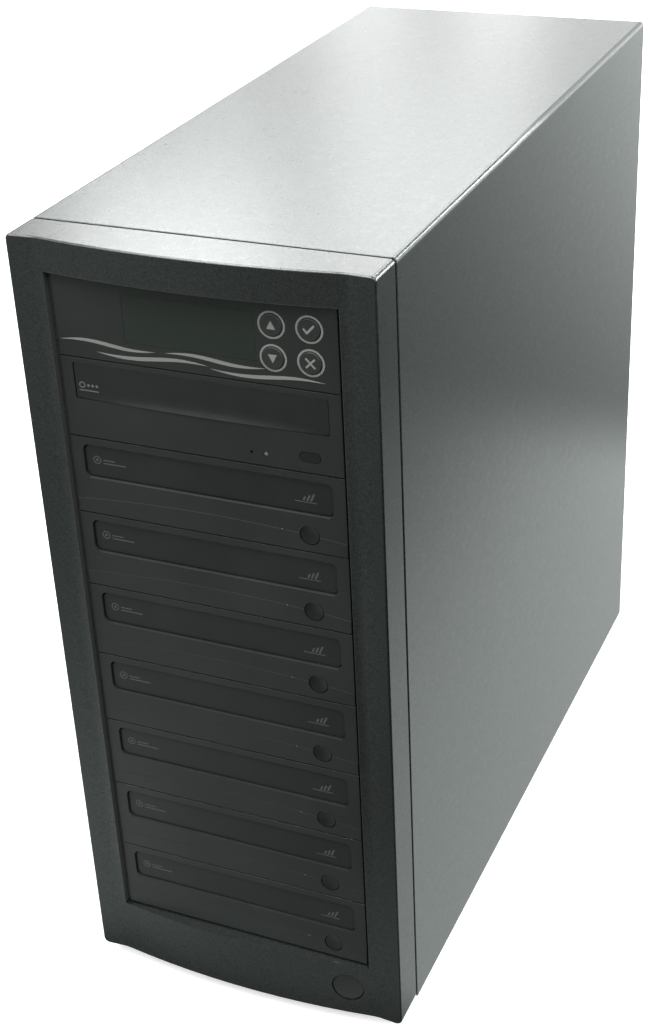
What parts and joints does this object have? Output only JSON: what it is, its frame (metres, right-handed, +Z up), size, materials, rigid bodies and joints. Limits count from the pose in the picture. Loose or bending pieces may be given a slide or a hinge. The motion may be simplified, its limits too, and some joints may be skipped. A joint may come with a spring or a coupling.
{
  "type": "drive duplicator",
  "caption": "Tower disc duplicator: bowed plastic front with a controller panel over stacked optical drives, in a folded steel case.",
  "frame": {"origin": "on the floor under the middle of the bounding box", "axes": "+Z up, -Y towards the user at the drive faces, +X to the right seen from the front"},
  "size_m": [0.186, 0.45, 0.443],
  "materials": {
    "bezel_plastic": "fine-textured charcoal moulding with a slight metallic fleck",
    "cover_paint": "satin metallic grey powder coat with a fine fleck",
    "chassis_steel": "plain zinc-coated sheet",
    "drive_face_plastic": "black satin moulding",
    "drive_case_steel": "zinc-coated sheet",
    "tray_plastic": "black satin moulding",
    "eject_plastic": "black polished cap",
    "key_plastic": "black soft-feel cap with a printed mark",
    "power_button_plastic": "black polished cap",
    "display_window": "smoked clear window",
    "display_module": "green board, black metal frame and display glass",
    "circuit_board": "green solder mask",
    "mechanism_plastic": "black glass-filled moulding",
    "foot_rubber": "matt black",
    "screw_steel": "bright zinc plating",
    "supply_steel": "grey coated sheet",
    "fan_plastic": "black moulding",
    "inlet_plastic": "black moulding with bright pins",
    "rocker_plastic": null,
    "switch_body": "black moulding",
    "cable_jacket": "red data cables and a black power harness"
  },
  "bodies": {
    "case": {"cover_wrap": "cover_paint", "front_bezel": "bezel_plastic", "base_pan": "chassis_steel", "rear_panel": "chassis_steel", "bay_frame": "chassis_steel", "feet": "foot_rubber", "rear_screws": "screw_steel", "drive_screws": "screw_steel", "controller_faceplate": "drive_face_plastic", "controller_bracket": "drive_case_steel", "controller_board": "circuit_board", "lcd_module": "display_module", "lcd_window": "display_window", "reader_case": "drive_case_steel", "reader_faceplate": "drive_face_plastic", "writer1_case": "drive_case_steel", "writer1_faceplate": "drive_face_plastic", "writer2_case": "drive_case_steel", "writer2_faceplate": "drive_face_plastic", "writer3_case": "drive_case_steel", "writer3_faceplate": "drive_face_plastic", "writer4_case": "drive_case_steel", "writer4_faceplate": "drive_face_plastic", "writer5_case": "drive_case_steel", "writer5_faceplate": "drive_face_plastic", "writer6_case": "drive_case_steel", "writer6_faceplate": "drive_face_plastic", "writer7_case": "drive_case_steel", "writer7_faceplate": "drive_face_plastic", "drive_mechanisms": "mechanism_plastic", "power_switch": "switch_body", "psu_case": "supply_steel", "psu_fan_frame": "fan_plastic", "psu_inlet": "inlet_plastic", "rear_fan_frame": "fan_plastic", "cable_loom": "cable_jacket"},
    "reader_tray": {"reader_tray": "tray_plastic"},
    "writer1_tray": {"writer1_tray": "tray_plastic"},
    "writer2_tray": {"writer2_tray": "tray_plastic"},
    "writer3_tray": {"writer3_tray": "tray_plastic"},
    "writer4_tray": {"writer4_tray": "tray_plastic"},
    "writer5_tray": {"writer5_tray": "tray_plastic"},
    "writer6_tray": {"writer6_tray": "tray_plastic"},
    "writer7_tray": {"writer7_tray": "tray_plastic"},
    "reader_eject_button": {"reader_eject_button": "eject_plastic"},
    "writer1_eject_button": {"writer1_eject_button": "eject_plastic"},
    "writer2_eject_button": {"writer2_eject_button": "eject_plastic"},
    "writer3_eject_button": {"writer3_eject_button": "eject_plastic"},
    "writer4_eject_button": {"writer4_eject_button": "eject_plastic"},
    "writer5_eject_button": {"writer5_eject_button": "eject_plastic"},
    "writer6_eject_button": {"writer6_eject_button": "eject_plastic"},
    "writer7_eject_button": {"writer7_eject_button": "eject_plastic"},
    "button_up": {"button_up": "key_plastic"},
    "button_down": {"button_down": "key_plastic"},
    "button_enter": {"button_enter": "key_plastic"},
    "button_escape": {"button_escape": "key_plastic"},
    "power_button": {"power_button": "power_button_plastic"},
    "psu_rocker": {"psu_rocker": "rocker_plastic"},
    "rear_fan_impeller": {"rear_fan_impeller": "fan_plastic"},
    "psu_fan_impeller": {"psu_fan_impeller": "fan_plastic"}
  },
  "joints": [
    {"name": "reader_tray_slide", "type": "slide", "parent": "case", "child": "reader_tray", "axis": [0, -1, 0], "range_m": [0, 0.14]},
    {"name": "writer1_tray_slide", "type": "slide", "parent": "case", "child": "writer1_tray", "axis": [0, -1, 0], "range_m": [0, 0.14]},
    {"name": "writer2_tray_slide", "type": "slide", "parent": "case", "child": "writer2_tray", "axis": [0, -1, 0], "range_m": [0, 0.14]},
    {"name": "writer3_tray_slide", "type": "slide", "parent": "case", "child": "writer3_tray", "axis": [0, -1, 0], "range_m": [0, 0.14]},
    {"name": "writer4_tray_slide", "type": "slide", "parent": "case", "child": "writer4_tray", "axis": [0, -1, 0], "range_m": [0, 0.14]},
    {"name": "writer5_tray_slide", "type": "slide", "parent": "case", "child": "writer5_tray", "axis": [0, -1, 0], "range_m": [0, 0.14]},
    {"name": "writer6_tray_slide", "type": "slide", "parent": "case", "child": "writer6_tray", "axis": [0, -1, 0], "range_m": [0, 0.14]},
    {"name": "writer7_tray_slide", "type": "slide", "parent": "case", "child": "writer7_tray", "axis": [0, -1, 0], "range_m": [0, 0.14]},
    {"name": "reader_eject_press", "type": "slide", "parent": "case", "child": "reader_eject_button", "axis": [0, 1, 0], "range_m": [0, 0.001], "stiffness_N_per_m": 900},
    {"name": "writer1_eject_press", "type": "slide", "parent": "case", "child": "writer1_eject_button", "axis": [0, 1, 0], "range_m": [0, 0.001], "stiffness_N_per_m": 900},
    {"name": "writer2_eject_press", "type": "slide", "parent": "case", "child": "writer2_eject_button", "axis": [0, 1, 0], "range_m": [0, 0.001], "stiffness_N_per_m": 900},
    {"name": "writer3_eject_press", "type": "slide", "parent": "case", "child": "writer3_eject_button", "axis": [0, 1, 0], "range_m": [0, 0.001], "stiffness_N_per_m": 900},
    {"name": "writer4_eject_press", "type": "slide", "parent": "case", "child": "writer4_eject_button", "axis": [0, 1, 0], "range_m": [0, 0.001], "stiffness_N_per_m": 900},
    {"name": "writer5_eject_press", "type": "slide", "parent": "case", "child": "writer5_eject_button", "axis": [0, 1, 0], "range_m": [0, 0.001], "stiffness_N_per_m": 900},
    {"name": "writer6_eject_press", "type": "slide", "parent": "case", "child": "writer6_eject_button", "axis": [0, 1, 0], "range_m": [0, 0.001], "stiffness_N_per_m": 900},
    {"name": "writer7_eject_press", "type": "slide", "parent": "case", "child": "writer7_eject_button", "axis": [0, 1, 0], "range_m": [0, 0.001], "stiffness_N_per_m": 900},
    {"name": "key_up_press", "type": "slide", "parent": "case", "child": "button_up", "axis": [0, 1, 0], "range_m": [0, 0.0008], "stiffness_N_per_m": 900},
    {"name": "key_down_press", "type": "slide", "parent": "case", "child": "button_down", "axis": [0, 1, 0], "range_m": [0, 0.0008], "stiffness_N_per_m": 900},
    {"name": "key_enter_press", "type": "slide", "parent": "case", "child": "button_enter", "axis": [0, 1, 0], "range_m": [0, 0.0008], "stiffness_N_per_m": 900},
    {"name": "key_escape_press", "type": "slide", "parent": "case", "child": "button_escape", "axis": [0, 1, 0], "range_m": [0, 0.0008], "stiffness_N_per_m": 900},
    {"name": "power_press", "type": "slide", "parent": "case", "child": "power_button", "axis": [0, 1, 0], "range_m": [0, 0.003], "stiffness_N_per_m": 500},
    {"name": "supply_rocker_tilt", "type": "hinge", "parent": "case", "child": "psu_rocker", "pos_m": [0.0595, 0.2186, 0.389], "axis": [1, 0, 0], "range_deg": [0, 16]},
    {"name": "rear_fan_spin", "type": "hinge", "parent": "case", "child": "rear_fan_impeller", "pos_m": [0, 0.204, 0.228], "axis": [0, 1, 0], "continuous": true},
    {"name": "supply_fan_spin", "type": "hinge", "parent": "case", "child": "psu_fan_impeller", "pos_m": [-0.026, 0.204, 0.389], "axis": [0, 1, 0], "continuous": true}
  ]
}
